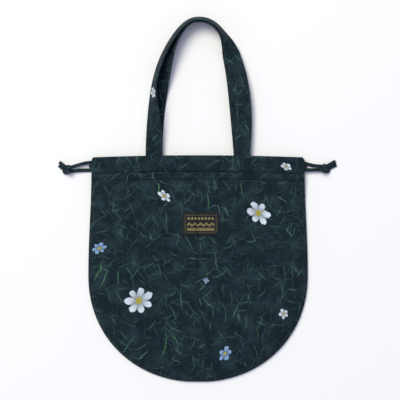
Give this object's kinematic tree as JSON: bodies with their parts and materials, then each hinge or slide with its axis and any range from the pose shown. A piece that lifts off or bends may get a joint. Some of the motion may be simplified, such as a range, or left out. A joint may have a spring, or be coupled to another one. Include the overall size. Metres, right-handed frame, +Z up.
{
  "type": "drawstring pouch",
  "caption": "U-shaped printed cotton pouch laid flat, with a folded hem as cord casing, knotted drawcords at both sides, sewn-in strap handles and a woven patch on the front.",
  "frame": {"origin": "on the surface the pouch lies on, at the middle of the pouch with its handles", "axes": "+X to the right of someone looking at the front panel, +Y from the foot to the handles, +Z up out of the front panel"},
  "size_m": [0.4198, 0.5488, 0.0251],
  "materials": {
    "printed_cotton": "matt plain-weave cotton with a dark floral print",
    "cord_cotton": "matt cotton tape folded from the same cloth",
    "label_cloth": "dense black patch with a dull gold field"
  },
  "bodies": {
    "root": {"back_panel": "printed_cotton", "front_panel": "printed_cotton", "back_handle": "printed_cotton", "front_handle": "printed_cotton", "left_drawcord": "cord_cotton", "left_knot": "cord_cotton", "right_drawcord": "cord_cotton", "right_knot": "cord_cotton", "label": "label_cloth"}
  },
  "joints": []
}
